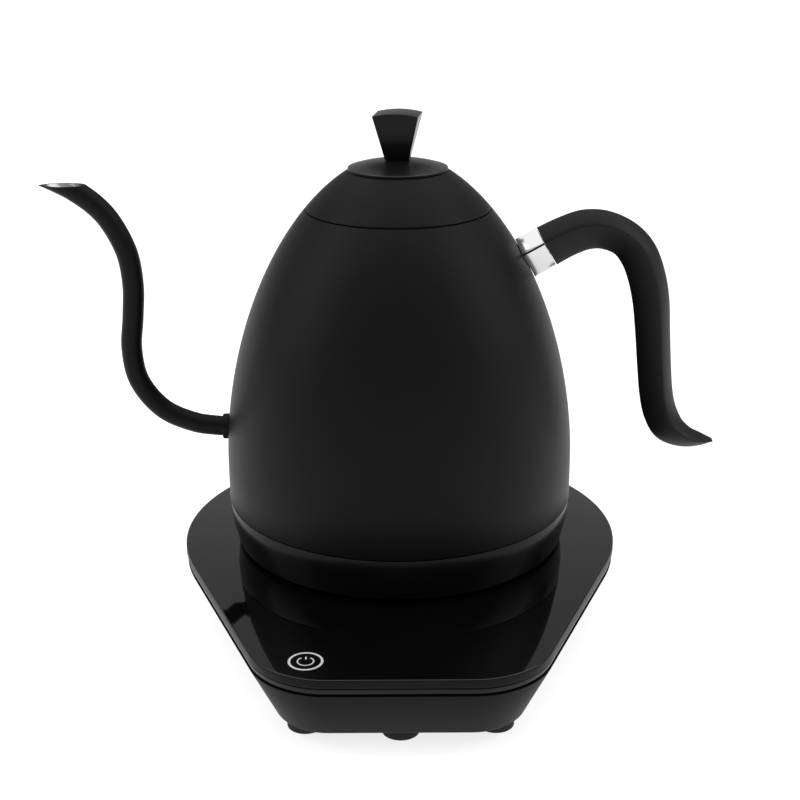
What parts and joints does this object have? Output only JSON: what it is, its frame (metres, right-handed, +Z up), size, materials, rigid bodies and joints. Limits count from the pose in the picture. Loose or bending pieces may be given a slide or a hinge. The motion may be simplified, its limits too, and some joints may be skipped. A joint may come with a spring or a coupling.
{
  "type": "electric kettle",
  "caption": "Gooseneck electric kettle with a domed body, lift-off lid and arched open handle, standing on a cordless touch-control power base.",
  "frame": {"origin": "centre of the whole object's outline, on the plane its feet stand on", "axes": "+X from the spout towards the handle, +Y towards the back of the base, away from its touch key, +Z up"},
  "size_m": [0.2766, 0.2198, 0.2148],
  "materials": {
    "black_painted_steel": "matte black powder coat with a soft satin sheen",
    "black_moulding": "fine-textured black moulding",
    "grip_moulding": "soft matte black grip",
    "ferrule_chrome": "polished chrome",
    "glass_black": "black-backed toughened glass, mirror gloss",
    "cover_moulding": "matte black moulding",
    "shutter_moulding": "dark grey moulding",
    "foot_rubber": "matte black rubber",
    "silicone": "red silicone",
    "steel": "plain stainless steel",
    "contact_brass": "bright brass",
    "heater_aluminium": "cast aluminium",
    "element_sheath": "grey sheathed element",
    "thermostat_case": "brown phenolic",
    "circuit_board": "green solder mask",
    "relay_case": "dark blue case",
    "transformer_tape": "yellow tape",
    "buzzer_case": "black case",
    "spacer_nylon": "natural nylon",
    "display_window": "dark tinted window"
  },
  "bodies": {
    "base": {"glass_top": "glass_black", "bezel_frame": "black_moulding", "lower_housing": "black_moulding", "bottom_cover": "cover_moulding", "foot_front_centre": "foot_rubber", "foot_front_left": "foot_rubber", "foot_front_right": "foot_rubber", "foot_rear_left": "foot_rubber", "foot_rear_right": "foot_rubber", "housing_screw_front_left": "steel", "housing_screw_front_right": "steel", "housing_screw_rear_left": "steel", "housing_screw_rear_right": "steel", "connector_post": "black_moulding", "base_contact_earth": "contact_brass", "base_contact_live": "contact_brass", "base_contact_neutral": "contact_brass", "connector_bracket": "steel", "bracket_screw_left": "steel", "bracket_screw_right": "steel", "main_board": "circuit_board", "relay": "relay_case", "transformer": "transformer_tape", "buzzer": "buzzer_case", "board_spacer_left": "spacer_nylon", "board_spacer_right": "spacer_nylon", "touch_board": "circuit_board", "display_module": "display_window", "power_key_spring": "steel", "cord_gland": "foot_rubber", "cord_clamp": "black_moulding"},
    "shutter": {"shutter_ring": "shutter_moulding"},
    "kettle": {"body_shell": "black_painted_steel", "spout_tube": "black_painted_steel", "spout_collar": "black_painted_steel", "skirt_ring": "black_moulding", "kettle_connector": "black_moulding", "handle_grip": "grip_moulding", "handle_ferrule": "ferrule_chrome", "probe_gasket": "silicone", "floor_pan": "steel", "neck_collar": "steel", "handle_core": "steel", "temperature_probe": "steel", "skirt_screw_1": "steel", "skirt_screw_2": "steel", "skirt_screw_3": "steel", "kettle_contact_earth": "contact_brass", "kettle_contact_live": "contact_brass", "kettle_contact_neutral": "contact_brass", "probe_nut": "contact_brass", "heat_plate": "heater_aluminium", "heating_element": "element_sheath", "boil_dry_thermostat": "thermostat_case"},
    "lid": {"lid_dome": "black_painted_steel", "lid_liner": "black_moulding", "lid_seal": "foot_rubber", "lid_plate": "black_painted_steel", "lid_knob": "black_moulding", "knob_screw": "steel"}
  },
  "joints": [
    {"name": "kettle_turn", "type": "hinge", "parent": "base", "child": "shutter", "pos_m": [0.00521, 0.01795, 0.0345], "axis": [0, 0, 1], "continuous": true},
    {"name": "kettle_lift", "type": "slide", "parent": "shutter", "child": "kettle", "axis": [0, 0, 1], "range_m": [0, 0.12]},
    {"name": "lid_lift", "type": "slide", "parent": "kettle", "child": "lid", "axis": [0, 0, 1], "range_m": [0, 0.06]}
  ]
}
